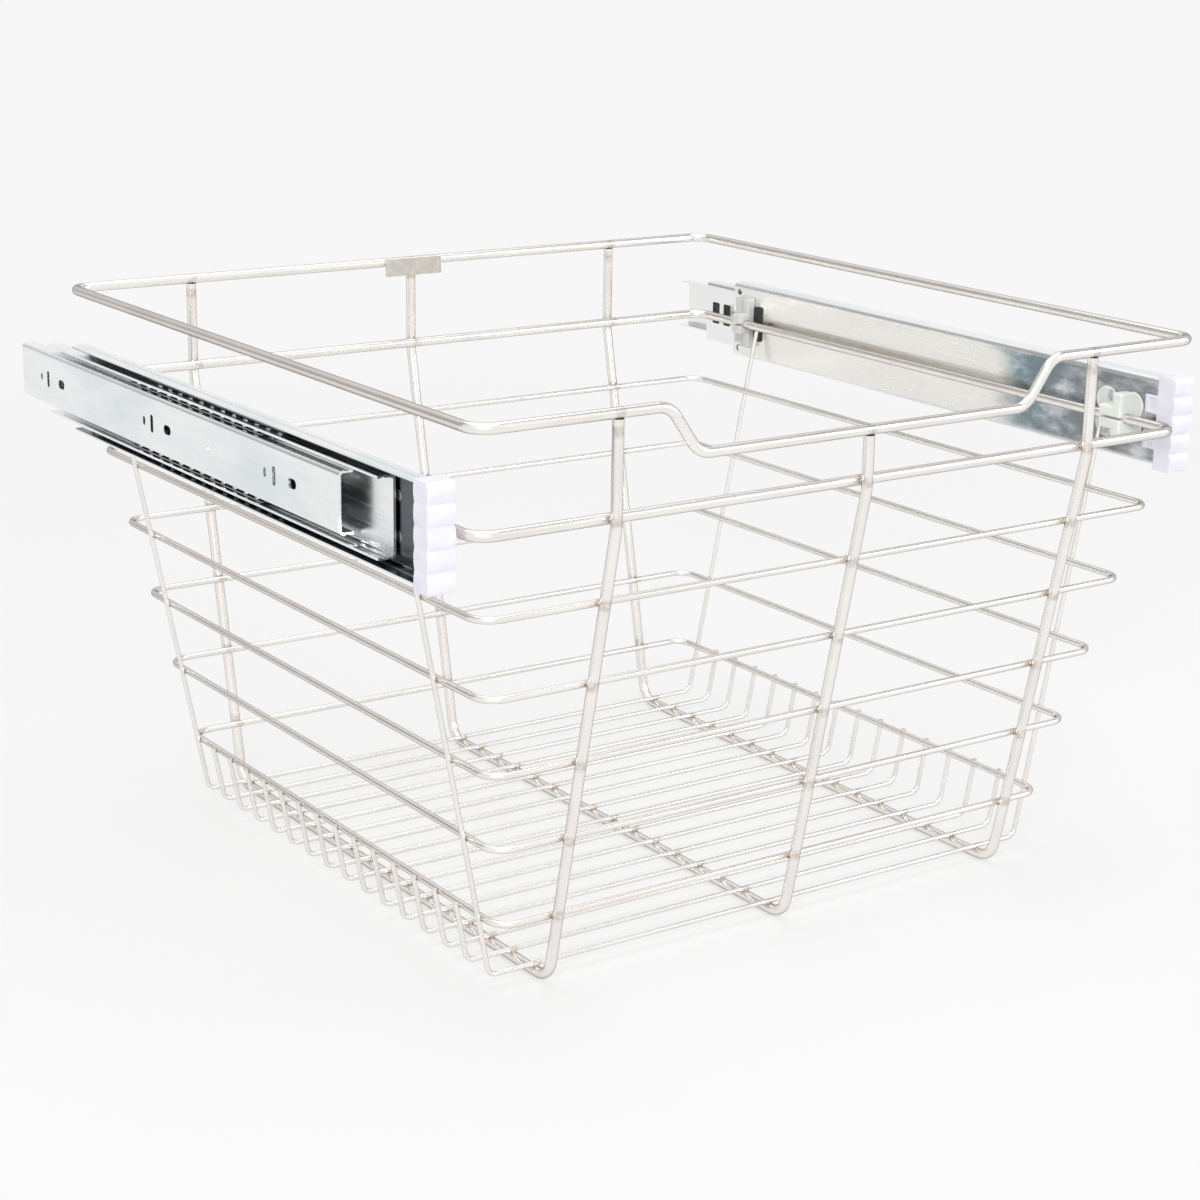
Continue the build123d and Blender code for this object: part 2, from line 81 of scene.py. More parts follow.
# ---------------------------------------------------------------- sizes and colours that can be changed
class BasketStageSettings(bpy.types.PropertyGroup):
    """Camera, lamps and the ground."""

    camera_place: bpy.props.FloatVectorProperty(
        name="Camera place", description="Where the camera stands", subtype="XYZ", unit="LENGTH",
        size=3, default=(-0.7283, -1.0569, 0.4933),
    )
    camera_azimuth: bpy.props.FloatProperty(
        name="Camera azimuth", description="Direction of view, from straight at the front towards the left side",
        subtype="ANGLE", default=math.radians(-34.749),
    )
    camera_elevation: bpy.props.FloatProperty(
        name="Camera elevation", description="How far the camera looks down", subtype="ANGLE",
        default=math.radians(16.15),
    )
    camera_roll: bpy.props.FloatProperty(
        name="Camera roll", description="Turn about the line of sight", subtype="ANGLE",
        default=math.radians(0.947),
    )
    lens: bpy.props.FloatProperty(
        name="Lens", description="Focal length on a 36 mm wide sensor", default=75.68, min=20, max=200,
    )
    ground_tone: bpy.props.FloatProperty(
        name="Ground tone", description="Brightness of the ground and backdrop, where 1 is white", default=0.93,
        min=0, max=1,
    )
    ground_shadow: bpy.props.FloatProperty(
        name="Ground shadow", description="Share of the ground's tone that the object's shadow can take away",
        subtype="FACTOR", default=0.35, min=0, max=1,
    )
    room_tone: bpy.props.FloatProperty(
        name="Room tone", description="Light that comes from all round", default=0.62, min=0, max=2,
    )
    wall_tone: bpy.props.FloatProperty(
        name="Wall tone", description="Brightness of the studio's side walls where metal mirrors them", default=0.4,
        min=0, max=1,
    )
    wall_turn: bpy.props.FloatProperty(
        name="Wall turn", description="Where the darker walls stand: 1 is straight behind the object, 0 beside it",
        default=0.3, min=-1, max=1,
    )
    key_power: bpy.props.FloatProperty(
        name="Key power", description="Power of the soft lamp by the camera", unit="POWER", default=26.0, min=0,
    )
    top_power: bpy.props.FloatProperty(
        name="Top power", description="Power of the soft lamp overhead", unit="POWER", default=20.0, min=0,
    )
    side_power: bpy.props.FloatProperty(
        name="Side power", description="Power of the soft lamp at the right", unit="POWER", default=10.0, min=0,
    )


class BasketWireSettings(bpy.types.PropertyGroup):
    """Finish of the wires and welds."""

    nickel: bpy.props.FloatVectorProperty(
        name="Nickel", description="Colour of the satin nickel plate", subtype="COLOR", size=3,
        default=(0.93, 0.902, 0.872), min=0, max=1,
    )
    nickel_dull: bpy.props.FloatVectorProperty(
        name="Dull nickel", description="Colour of the plate where it is duller", subtype="COLOR", size=3,
        default=(0.87, 0.835, 0.80), min=0, max=1,
    )
    heat_tint: bpy.props.FloatVectorProperty(
        name="Heat tint", description="Brownish colour beside the welds", subtype="COLOR", size=3,
        default=(0.46, 0.385, 0.315), min=0, max=1,
    )
    heat_reach: bpy.props.FloatProperty(
        name="Heat reach", description="How far the tint reaches from a weld", unit="LENGTH", default=0.0036, min=0,
    )
    satin: bpy.props.FloatProperty(
        name="Satin", description="Roughness of the plate", subtype="FACTOR", default=0.25, min=0, max=1,
    )
    bead_length: bpy.props.FloatProperty(
        name="Bead length", description="Length of a weld bead", unit="LENGTH", default=0.0052, min=0,
    )
    bead_width: bpy.props.FloatProperty(
        name="Bead width", description="Width of a weld bead", unit="LENGTH", default=0.0032, min=0,
    )
    badge_rim: bpy.props.FloatProperty(
        name="Badge rim", description="Width of the raised rim round the bare badge plate", unit="LENGTH",
        default=0.0007, min=0,
    )


class BasketSlideSettings(bpy.types.PropertyGroup):
    """Finish of the slides, caps and clips."""

    zinc: bpy.props.FloatVectorProperty(
        name="Zinc", description="Colour of the bright zinc plate", subtype="COLOR", size=3,
        default=(0.90, 0.905, 0.91), min=0, max=1,
    )
    zinc_blue: bpy.props.FloatVectorProperty(
        name="Blue zinc", description="Bluish clouds in the zinc plate", subtype="COLOR", size=3,
        default=(0.78, 0.825, 0.85), min=0, max=1,
    )
    zinc_cream: bpy.props.FloatVectorProperty(
        name="Cream zinc", description="Cream clouds in the zinc plate", subtype="COLOR", size=3,
        default=(0.87, 0.865, 0.82), min=0, max=1,
    )
    # Painted reflection: teal painted at the front of the channel's back, where the plate mirrors the room's darker
    # side.
    painted_reflection_teal: bpy.props.FloatVectorProperty(
        name="Teal zinc", description="Deep tint at the front of the channels' backs", subtype="COLOR", size=3,
        default=(0.20, 0.275, 0.31), min=0, max=1,
    )
    zinc_warm: bpy.props.FloatVectorProperty(
        name="Warm zinc", description="Faint warm patches on the channels' backs", subtype="COLOR", size=3,
        default=(0.88, 0.84, 0.80), min=0, max=1,
    )
    # Painted reflection: dark grey painted on the channel's back beside the end cap, where the plate mirrors
    # something dark.
    painted_reflection_dark: bpy.props.FloatVectorProperty(
        name="Dark zinc", description="Dark grey of the channels' backs beside the end caps", subtype="COLOR", size=3,
        default=(0.24, 0.25, 0.265), min=0, max=1,
    )
    # Bare cut metal, made brighter as a painted highlight on the cut ends.
    cut_edge_highlight: bpy.props.FloatVectorProperty(
        name="Cut edge", description="Bright bare metal at the members' cut ends", subtype="COLOR", size=3,
        default=(0.95, 0.955, 0.96), min=0, max=1,
    )
    # Painted shade and painted dark reflection for the slides' insides.
    raceway_painted_shade: bpy.props.FloatVectorProperty(
        name="Raceway", description="Dark greased insides of the slides", subtype="COLOR", size=3,
        default=(0.10, 0.115, 0.125), min=0, max=1,
    )
    cap_white: bpy.props.FloatVectorProperty(
        name="Cap white", description="Colour of the end caps", subtype="COLOR", size=3,
        default=(0.78, 0.77, 0.86), min=0, max=1,
    )
    clip_milk: bpy.props.FloatVectorProperty(
        name="Clip milk", description="Colour of the milky front clips", subtype="COLOR", size=3,
        default=(0.80, 0.83, 0.79), min=0, max=1,
    )
    clip_grey: bpy.props.FloatVectorProperty(
        name="Clip grey", description="Colour of the rear clips", subtype="COLOR", size=3,
        default=(0.66, 0.67, 0.66), min=0, max=1,
    )
    stop_black: bpy.props.FloatVectorProperty(
        name="Stop black", description="Colour of the black stops", subtype="COLOR", size=3,
        default=(0.012, 0.012, 0.014), min=0, max=1,
    )
    cap_ribs: bpy.props.IntProperty(
        name="Cap ribs", description="Waves down the front of an end cap", default=5, min=1, max=9,
    )
    front_wave: bpy.props.FloatProperty(
        name="Front wave", description="Height of the waves on an end cap's front", unit="LENGTH", default=0.0015,
        min=0.0002,
    )
    side_wave: bpy.props.FloatProperty(
        name="Side wave", description="Height of the waves on an end cap's side", unit="LENGTH", default=0.0005,
        min=0.0002,
    )
    mould_grain: bpy.props.FloatProperty(
        name="Mould grain", description="Grid of the meshes of moulded pieces, which their edges are rounded by",
        unit="LENGTH", default=0.00026, min=0.0001,
    )
    wing_thickness: bpy.props.FloatProperty(
        name="Wing thickness", description="Thickness of the clips' wings", unit="LENGTH", default=0.00135,
        min=0.0005,
    )
    lobe_radius: bpy.props.FloatProperty(
        name="Lobe radius", description="Radius of a front clip's four lobes", unit="LENGTH", default=0.0072,
        min=0.002,
    )
    saddle_lead: bpy.props.FloatProperty(
        name="Saddle lead", description="How far a front clip's saddle starts before the clip's middle",
        unit="LENGTH", default=0.0105, min=0,
    )


# ---------------------------------------------------------------- modelling helpers
MOULDING_SMOOTH = 60


def deselect():
    bpy.ops.object.select_all(action="DESELECT")


def take(piece):
    deselect()
    piece.select_set(True)
    bpy.context.view_layer.objects.active = piece


def settle(piece):
    """Applies the piece's place, turn and size to its mesh."""
    take(piece)
    bpy.ops.object.transform_apply(location=True, rotation=True, scale=True)


def apply_modifier(piece, kind, **settings):
    modifier = piece.modifiers.new(kind.title(), kind)
    for key, value in settings.items():
        setattr(modifier, key, value)
    take(piece)
    bpy.ops.object.modifier_apply(modifier=modifier.name)


def block(low, high):
    low, high = Vector(low), Vector(high)
    deselect()
    bpy.ops.mesh.primitive_cube_add(size=1, location=(low + high) / 2, scale=high - low)
    piece = bpy.context.object
    piece.name = "block"
    settle(piece)
    return piece


def round_bar(centre, radius, length, axis, sides=40):
    turns = {"X": (0, math.pi / 2, 0), "Y": (math.pi / 2, 0, 0), "Z": (0, 0, 0)}
    deselect()
    bpy.ops.mesh.primitive_cylinder_add(
        vertices=sides, radius=radius, depth=length, location=centre, rotation=turns[axis]
    )
    piece = bpy.context.object
    piece.name = "round_bar"
    settle(piece)
    return piece


def soften(piece, width, segments=3):
    """Rounds every edge sharper than 30 degrees."""
    apply_modifier(
        piece, "BEVEL", width=width, segments=segments, limit_method="ANGLE", angle_limit=math.radians(30)
    )
    return piece


def combine(piece, others, operation="UNION"):
    for other in others:
        apply_modifier(piece, "BOOLEAN", object=other, operation=operation, solver="EXACT")
        bpy.data.objects.remove(other)
    return piece


def cut_for_wire(saddle, inner_x, y, z):
    """Cuts the slide ring's bore in a saddle, and the slot that the wire snaps in through."""
    bore = round_bar((SLIDE_WIRE_X, y, z), WIRE_BORE_RADIUS, 60 * MM, "Y", sides=48)
    slot = block(
        (inner_x - PAST, y - 30 * MM, z - WIRE_SLOT_HALF), (SLIDE_WIRE_X, y + 30 * MM, z + WIRE_SLOT_HALF)
    )
    combine(saddle, [bore, slot], "DIFFERENCE")


def bars_above_and_below(x, y, rise, radius, length, sides):
    """Two bars along X that cut a clip's rivet holes, the same distance above and below the wire."""
    return [round_bar((x, y, SLIDE_Z + side * rise), radius, length, "X", sides=sides) for side in (-1, 1)]


def round_off(piece, grain, rounds):
    """Rounds all edges of a moulding as its mould does, by a fine even mesh that is then eased."""
    apply_modifier(piece, "REMESH", mode="VOXEL", voxel_size=grain, adaptivity=0.0)
    apply_modifier(piece, "SMOOTH", factor=0.5, iterations=rounds)
    return piece


def tidy_mesh(piece, smooth):
    """Merges doubles, points every face outwards and smooths the shading of edges below an angle in degrees."""
    take(piece)
    bpy.ops.object.mode_set(mode="EDIT")
    bpy.ops.mesh.select_all(action="SELECT")
    bpy.ops.mesh.remove_doubles(threshold=0.00001)
    bpy.ops.mesh.normals_make_consistent(inside=False)
    bpy.ops.object.mode_set(mode="OBJECT")
    bpy.ops.object.shade_smooth_by_angle(angle=math.radians(smooth))


def mirrored(piece, name):
    """A copy of the piece on the other side of the basket, with its own mesh."""
    take(piece)
    bpy.ops.object.duplicate(linked=False)
    copy = bpy.context.object
    copy.name = name
    bpy.ops.object.mode_set(mode="EDIT")
    bpy.ops.mesh.select_all(action="SELECT")
    bpy.ops.transform.resize(value=(-1, 1, 1), center_override=(0, 0, 0))
    bpy.ops.object.mode_set(mode="OBJECT")
    tidy_mesh(copy, MOULDING_SMOOTH)
    return copy


def hand_in(piece, name, finish, replaced=()):
    """Names and finishes a piece, and puts it on the basket's body."""
    piece.name = name
    piece.data.materials.clear()
    piece.data.materials.append(finish)
    for node in replaced:
        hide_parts(node)
    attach(piece, "basket")


def hand_in_pair(piece, kind, finish):
    """Hands in a right-hand moulding and its mirror image on the left, each in place of its node."""
    tidy_mesh(piece, MOULDING_SMOOTH)
    for side, each in (("left", mirrored(piece, "left_" + kind)), ("right", piece)):
        node = f"{side}_{kind}"
        hand_in(each, f"{node}_moulding", finish, [node])


# ---------------------------------------------------------------- material helpers
NICKEL_EDGE_TINT = (0.36, 0.315, 0.285)  # darkens the wires' rims, where metal is seen at a glancing angle


def new_finish(name):
    finish = bpy.data.materials.new(name)
    finish.use_nodes = True
    tree = finish.node_tree
    return finish, tree, tree.nodes["Principled BSDF"]


def put(tree, kind, inputs=None, **settings):
    """Adds a node. Its inputs are given as values or as other nodes' outputs."""
    node = tree.nodes.new(kind)
    for key, value in settings.items():
        setattr(node, key, value)
    for key, value in (inputs or {}).items():
        if isinstance(value, bpy.types.NodeSocket):
            tree.links.new(value, node.inputs[key])
        else:
            node.inputs[key].default_value = value
    return node


def rgba(colour):
    return (*colour, 1.0)


def blend_colours(tree, factor, first, second):
    node = tree.nodes.new("ShaderNodeMix")
    node.data_type = "RGBA"
    for index, value in ((0, factor), (6, first), (7, second)):
        if isinstance(value, bpy.types.NodeSocket):
            tree.links.new(value, node.inputs[index])
        else:
            node.inputs[index].default_value = value if index == 0 else rgba(value)
    return node.outputs[2]


def math_of(tree, operation, first, second=0.0, third=0.0):
    return put(tree, "ShaderNodeMath", {0: first, 1: second, 2: third}, operation=operation).outputs[0]


def remap(tree, value, low, high, to_low=0.0, to_high=1.0):
    """Takes low..high to to_low..to_high, eased at both ends and held beyond them."""
    return put(
        tree, "ShaderNodeMapRange",
        {"Value": value, "From Min": low, "From Max": high, "To Min": to_low, "To Max": to_high},
        interpolation_type="SMOOTHSTEP",
    ).outputs["Result"]


def place_of(tree):
    return put(tree, "ShaderNodeTexCoord").outputs["Object"]


def axes_of(tree, place):
    return put(tree, "ShaderNodeSeparateXYZ", {0: place}).outputs


def stretched(tree, place, scale):
    return put(tree, "ShaderNodeMapping", {"Vector": place, "Scale": scale}).outputs["Vector"]


def clouds(tree, place, scale, detail=3.0, rough=0.5):
    return put(
        tree, "ShaderNodeTexNoise", {"Vector": place, "Scale": scale, "Detail": detail, "Roughness": rough}
    ).outputs["Fac"]


def give_bump(tree, shader, height, distance, strength=1.0):
    bump = put(tree, "ShaderNodeBump", {"Height": height, "Distance": distance, "Strength": strength})
    tree.links.new(bump.outputs["Normal"], shader.inputs["Normal"])


def near_crossings(tree, axis, nearest, pitch, reach):
    """1 beside the weld at `nearest` and every `pitch` from it, fading to 0 within `reach`."""
    away = math_of(tree, "PINGPONG", math_of(tree, "SUBTRACT", axis, nearest), pitch / 2)
    return remap(tree, away, reach * 0.35, reach, 1.0, 0.0)


def seen_directly(tree):
    """1 for rays from the camera, a mirror or glass, and 0 for the light on the object."""
    path = put(tree, "ShaderNodeLightPath")
    mirrored_too = math_of(tree, "MAXIMUM", path.outputs["Is Camera Ray"], path.outputs["Is Glossy Ray"])
    return path, math_of(tree, "MAXIMUM", mirrored_too, path.outputs["Is Transmission Ray"])


def satin_nickel(name, crossing_axis, nearest, pitch, settings):
    """Satin nickel plate, a little brown beside the welds that lie a pitch apart along one axis (0 is X, 2 is Z)."""
    finish, tree, shader = new_finish(name)
    place = place_of(tree)
    patches = clouds(tree, place, 22.0, 2.0)
    colour = blend_colours(tree, remap(tree, patches, 0.3, 0.7), settings.nickel, settings.nickel_dull)
    beside = near_crossings(tree, axes_of(tree, place)[crossing_axis], nearest, pitch, settings.heat_reach)
    broken = math_of(tree, "MULTIPLY", beside, remap(tree, clouds(tree, place, 420.0), 0.35, 0.6, 0.1, 0.5))
    colour = blend_colours(tree, broken, colour, settings.heat_tint)
    tree.links.new(colour, shader.inputs["Base Color"])
    grain = clouds(tree, place, 1600.0, 2.0)
    roughness = remap(tree, grain, 0.3, 0.7, settings.satin - 0.03, settings.satin + 0.04)
    tree.links.new(roughness, shader.inputs["Roughness"])
    shader.inputs["Metallic"].default_value = 1.0
    shader.inputs["Specular Tint"].default_value = rgba(NICKEL_EDGE_TINT)
    give_bump(tree, shader, grain, 0.000012, 0.3)
    return finish


def channel_patches_painted_reflection_and_shade(tree, place, plate, large, settings):
    """The channel's back, with a painted dark reflection at its front (teal, dark grey beside the cap) and faint warm
    patches behind, and painted shade and dark reflection on its inside.
    """
    x, y, z = axes_of(tree, place)
    out = math_of(tree, "ABSOLUTE", x)
    height = math_of(tree, "ABSOLUTE", math_of(tree, "SUBTRACT", z, SLIDE_Z))
    wavy = math_of(tree, "MULTIPLY_ADD", large, 0.12, y)
    # Mask of the painted dark reflection: full from the channel's front to near its middle, with a wavy edge.
    front = remap(tree, wavy, -25 * MM, 5 * MM, 1.0, 0.0)
    turned = put(tree, "ShaderNodeMapping", {"Vector": place, "Rotation": (0.7, 0, 0)}).outputs["Vector"]
    slanted = stretched(tree, turned, (1.0, 0.5, 1.6))
    warm = remap(tree, clouds(tree, slanted, 24.0, 1.0), 0.52, 0.62, 0.0, 0.6)
    rear = blend_colours(tree, warm, settings.zinc_cream, settings.zinc_warm)
    # The painted reflection is dark grey beside the end cap and teal further back; behind it are the warm patches.
    beside_cap = remap(tree, y, -150 * MM, -90 * MM)
    painted_dark_reflection = blend_colours(tree, beside_cap, settings.painted_reflection_dark, settings.painted_reflection_teal)
    patches_and_painted_reflection = blend_colours(tree, front, rear, painted_dark_reflection)
    # Blue blotches, only within the painted reflection.
    blotches = remap(tree, clouds(tree, stretched(tree, place, (1, 0.6, 1.4)), 38.0, 5.0, 0.62), 0.42, 0.7)
    patches_and_painted_reflection = blend_colours(tree, math_of(tree, "MULTIPLY", blotches, front), patches_and_painted_reflection, settings.zinc_blue)
    skin = remap(tree, out, CHANNEL_BACK + 0.5 * MM, CHANNEL_BACK + 0.7 * MM, 1.0, 0.0)
    flat = remap(tree, height, 19.0 * MM, 21.5 * MM, 1.0, 0.0)
    plate = blend_colours(tree, math_of(tree, "MULTIPLY", skin, flat), plate, patches_and_painted_reflection)
    # Painted shade and painted dark reflection on the slide's inside, past the back sheet and between the flanges.
    past_sheet = remap(tree, out, CHANNEL_BACK + 0.8 * MM, CHANNEL_BACK + 1.0 * MM)
    between_flanges = remap(tree, height, 21.3 * MM, 21.5 * MM, 1.0, 0.0)
    inside = math_of(tree, "MULTIPLY", past_sheet, between_flanges)
    return blend_colours(tree, inside, plate, settings.raceway_painted_shade)


def cut_ends(tree, place, node):
    """1 on the two cut ends of a slide member, 0 elsewhere."""
    y = axes_of(tree, place)["Y"]
    low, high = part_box(node)
    fades_from, fades_to = 0.03 * MM, 0.15 * MM
    front = remap(tree, y, low.y + fades_from, low.y + fades_to, 1.0, 0.0)
    rear = remap(tree, y, high.y - fades_to, high.y - fades_from)
    return math_of(tree, "MAXIMUM", front, rear)


def zinc_finish(name, settings, part):
    """Bright zinc plate with faint clouds, and cut ends of bare metal brightened by a painted highlight, for a kind
    of slide member; a channel also gets its painted dark reflection and painted inside shade.
    """
    finish, tree, shader = new_finish(name)
    place = place_of(tree)
    large = clouds(tree, stretched(tree, place, (1.0, 0.45, 1.6)), 26.0, 4.0, 0.55)
    colour = blend_colours(tree, remap(tree, large, 0.42, 0.68), settings.zinc, settings.zinc_blue)
    creamy = clouds(tree, stretched(tree, place, (1.0, 0.3, 1.0)), 17.0, 2.0)
    colour = blend_colours(tree, remap(tree, creamy, 0.5, 0.75, 0.0, 0.6), colour, settings.zinc_cream)
    if part == "channel":
        colour = channel_patches_painted_reflection_and_shade(tree, place, colour, large, settings)
    # Painted highlight: the cut ends are painted brighter than the plate.
    colour = blend_colours(tree, cut_ends(tree, place, f"right_{part}"), colour, settings.cut_edge_highlight)
    tree.links.new(colour, shader.inputs["Base Color"])
    streaks = clouds(tree, stretched(tree, place, (600.0, 14.0, 600.0)), 1.0, 3.0)
    smears = math_of(tree, "MULTIPLY_ADD", streaks, 0.5, math_of(tree, "MULTIPLY", large, 0.5))
    tree.links.new(remap(tree, smears, 0.3, 0.7, 0.16, 0.34), shader.inputs["Roughness"])
    shader.inputs["Metallic"].default_value = 1.0
    give_bump(tree, shader, streaks, 0.000015, 0.2)
    return finish


def plain_metal(name, light, dark, smoothest, roughest, scale=120.0):
    """Bare or plated metal in patches of two colours, with a fine grain."""
    finish, tree, shader = new_finish(name)
    place = place_of(tree)
    patches = clouds(tree, place, scale, 4.0)
    colour = blend_colours(tree, remap(tree, patches, 0.35, 0.65), light, dark)
    tree.links.new(colour, shader.inputs["Base Color"])
    tree.links.new(remap(tree, patches, 0.3, 0.7, smoothest, roughest), shader.inputs["Roughness"])
    shader.inputs["Metallic"].default_value = 1.0
    give_bump(tree, shader, clouds(tree, place, 1400.0, 2.0), 0.00003, 0.4)
    return finish


def moulded_plastic(name, colour, shade, smoothest, roughest, milk=0.0):
    """Injection-moulded plastic: a faint sink and flow pattern, fine grain, and some light let in."""
    finish, tree, shader = new_finish(name)
    place = place_of(tree)
    flow = clouds(tree, stretched(tree, place, (1.0, 1.0, 2.2)), 90.0, 3.0)
    tree.links.new(blend_colours(tree, remap(tree, flow, 0.35, 0.7), colour, shade), shader.inputs["Base Color"])
    grain = clouds(tree, place, 2600.0, 2.0)
    tree.links.new(remap(tree, grain, 0.3, 0.7, smoothest, roughest), shader.inputs["Roughness"])
    if milk:
        shader.inputs["Subsurface Weight"].default_value = milk
        shader.inputs["Subsurface Radius"].default_value = (0.9, 1.0, 0.95)
        shader.inputs["Subsurface Scale"].default_value = 2 * MM
    height = math_of(tree, "ADD", flow, math_of(tree, "MULTIPLY", grain, 0.25))
    give_bump(tree, shader, height, 0.00008, 0.5)
    return finish


def darker(colour, share):
    return [share * part for part in colour]


def recolour(nodes, finish):
    """Gives CAD nodes a finish."""
    for node in nodes:
        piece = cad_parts[node]
        piece.data.materials.clear()
        piece.data.materials.append(finish)


# ---------------------------------------------------------------- operators
PHOTO_DIRECTION = (0.57, 0.82, 0.0)  # the way that the photograph looks, level, for the studio's dark walls


class BASKET_OT_stage(bpy.types.Operator):
    """Sets up the camera, lamps, room and ground"""

    bl_idname = "basket.stage"
    bl_label = "Stage"

    def execute(self, context):
        settings = context.scene.basket_stage
        self.camera(context, settings)
        self.lamps(settings)
        self.room(context, settings)
        self.ground(settings)
        context.scene.view_settings.view_transform = "Standard"
        return {"FINISHED"}

    def camera(self, context, settings):
        azimuth, elevation, roll = settings.camera_azimuth, settings.camera_elevation, settings.camera_roll
        ahead = Vector((
            -math.sin(azimuth) * math.cos(elevation),
            math.cos(azimuth) * math.cos(elevation),
            -math.sin(elevation),
        ))
        right = Vector((math.cos(azimuth), math.sin(azimuth), 0))
        up = right.cross(ahead)
        turned_right = math.cos(roll) * right + math.sin(roll) * up
        turned_up = math.cos(roll) * up - math.sin(roll) * right
        turn = Matrix((turned_right, turned_up, -ahead)).transposed().to_4x4()
        data = bpy.data.cameras.new("photo_camera")
        data.lens = settings.lens
        data.sensor_width = 36.0
        data.clip_start = 0.05
        data.clip_end = 100.0
        camera = bpy.data.objects.new("photo_camera", data)
        context.scene.collection.objects.link(camera)
        camera.matrix_world = Matrix.Translation(settings.camera_place) @ turn
        context.scene.camera = camera

    def lamps(self, settings):
        target = Vector((0, 0, 0.15))  # about the middle of the basket
        for name, power, size, place in (
            ("key_lamp", settings.key_power, 1.1, (-1.25, -1.75, 1.25)),
            ("top_lamp", settings.top_power, 1.8, (0.1, 0.3, 2.1)),
            ("side_lamp", settings.side_power, 1.0, (1.7, -1.2, 1.0)),
        ):
            data = bpy.data.lights.new(name, "AREA")
            data.shape = "SQUARE"
            data.size = size
            data.energy = power
            lamp = bpy.data.objects.new(name, data)
            bpy.context.scene.collection.objects.link(lamp)
            lamp.location = place
            lamp.rotation_euler = (target - Vector(place)).to_track_quat("-Z", "Y").to_euler()

    def room(self, context, settings):
        world = bpy.data.worlds.new("pale_room")
        world.use_nodes = True
        context.scene.world = world
        tree = world.node_tree
        tree.nodes.clear()
        path, shown = seen_directly(tree)
        towards = put(tree, "ShaderNodeTexCoord").outputs["Generated"]
        along_view = put(
            tree, "ShaderNodeVectorMath", {0: towards, 1: PHOTO_DIRECTION}, operation="DOT_PRODUCT"
        ).outputs["Value"]
        beside = math_of(tree, "ABSOLUTE", math_of(tree, "SUBTRACT", along_view, settings.wall_turn))
        walls = remap(tree, beside, 0.12, 0.38, settings.wall_tone, settings.ground_tone)
        backdrop = math_of(tree, "MULTIPLY", path.outputs["Is Camera Ray"], settings.ground_tone)
        tone = math_of(tree, "MAXIMUM", walls, backdrop)
        seen = put(tree, "ShaderNodeBackground", {"Color": (1.0, 1.0, 1.0, 1.0), "Strength": tone})
        lit = put(tree, "ShaderNodeBackground", {"Color": (1.0, 0.995, 0.985, 1.0), "Strength": settings.room_tone})
        mixed = put(tree, "ShaderNodeMixShader", {0: shown, 1: lit.outputs[0], 2: seen.outputs[0]})
        put(tree, "ShaderNodeOutputWorld", {"Surface": mixed.outputs[0]})

    def ground(self, settings):
        deselect()
        bpy.ops.mesh.primitive_plane_add(size=60, location=(0, 0, -0.4 * MM))
        ground = bpy.context.object
        ground.name = "ground"
        settle(ground)
        finish, tree, shader = new_finish("pale_ground")
        tree.nodes.remove(shader)
        _, shown = seen_directly(tree)
        paper = put(tree, "ShaderNodeBsdfDiffuse", {"Color": (0.80, 0.80, 0.80, 1.0)})
        glow = put(tree, "ShaderNodeEmission", {"Color": (1.0, 1.0, 1.0, 1.0), "Strength": settings.ground_tone})
        away = put(tree, "ShaderNodeVectorMath", {0: place_of(tree)}, operation="LENGTH").outputs["Value"]
        near = remap(tree, away, 0.45, 1.6, 1.0 - settings.ground_shadow, 1.0)
        share = math_of(tree, "MULTIPLY", shown, near)
        mixed = put(tree, "ShaderNodeMixShader", {0: share, 1: paper.outputs[0], 2: glow.outputs[0]})
        tree.links.new(mixed.outputs[0], tree.nodes["Material Output"].inputs["Surface"])
        ground.data.materials.append(finish)


class BASKET_OT_wires(bpy.types.Operator):
    """Plates the rim, rings, hoops and floor wires with satin nickel"""

    bl_idname = "basket.wires"
    bl_label = "Wires"

    def execute(self, context):
        settings = context.scene.basket_wires
        hoop_x = middle_of("right_hoop").x
        ring_pitch = middle_of("side_ring_1").z - middle_of("side_ring_2").z
        recolour(["top_rim"], satin_nickel("rim_nickel", 0, 0.0, hoop_x, settings))
        recolour(RINGS + FLOOR_WIRES, satin_nickel("ring_nickel", 0, 0.0, hoop_x, settings))
        recolour(HOOPS, satin_nickel("hoop_nickel", 2, SLIDE_Z, ring_pitch, settings))
        return {"FINISHED"}


